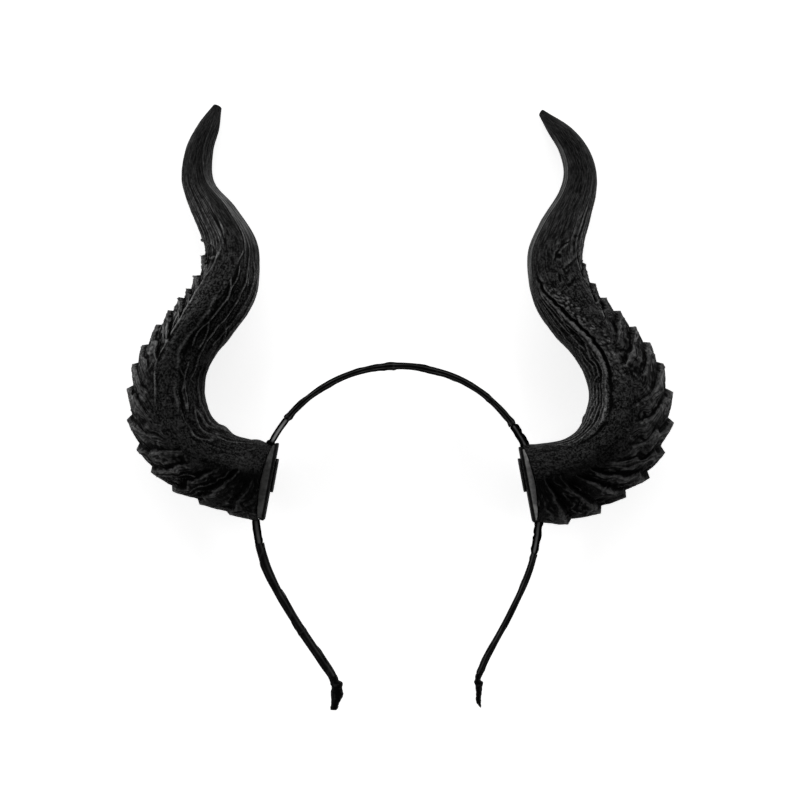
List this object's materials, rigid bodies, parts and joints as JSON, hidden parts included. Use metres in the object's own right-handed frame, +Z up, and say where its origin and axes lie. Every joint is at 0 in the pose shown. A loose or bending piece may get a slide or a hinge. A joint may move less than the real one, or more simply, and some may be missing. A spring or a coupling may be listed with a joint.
{
  "type": "horned headband",
  "caption": "Ribbon-wound costume headband with tall S-curved scaly animal horns on padded bases, worn over the crown and gripping the head by its springy legs.",
  "frame": {"origin": "on the floor under the middle of the part's box, with the headband lying on its back", "axes": "+X to the right as seen from the front, +Y from the leg ends to the horn tips, +Z up out of the forehead side"},
  "size_m": [0.2504, 0.2772, 0.039],
  "materials": {
    "horn": "satin, moulded, with dry rubbed ridges",
    "strip": "gloss black paint",
    "ribbon": "black satin ribbon, wound",
    "pad": "matte closed-cell foam",
    "patch": "matte felt"
  },
  "bodies": {
    "root": {"strip": "strip", "left_leg_wrap": "ribbon", "crown_wrap": "ribbon", "right_leg_wrap": "ribbon", "left_end_fold": "ribbon", "right_end_fold": "ribbon", "left_horn": "horn", "right_horn": "horn", "left_pad": "pad", "right_pad": "pad", "left_patch": "patch", "right_patch": "patch"}
  },
  "joints": []
}
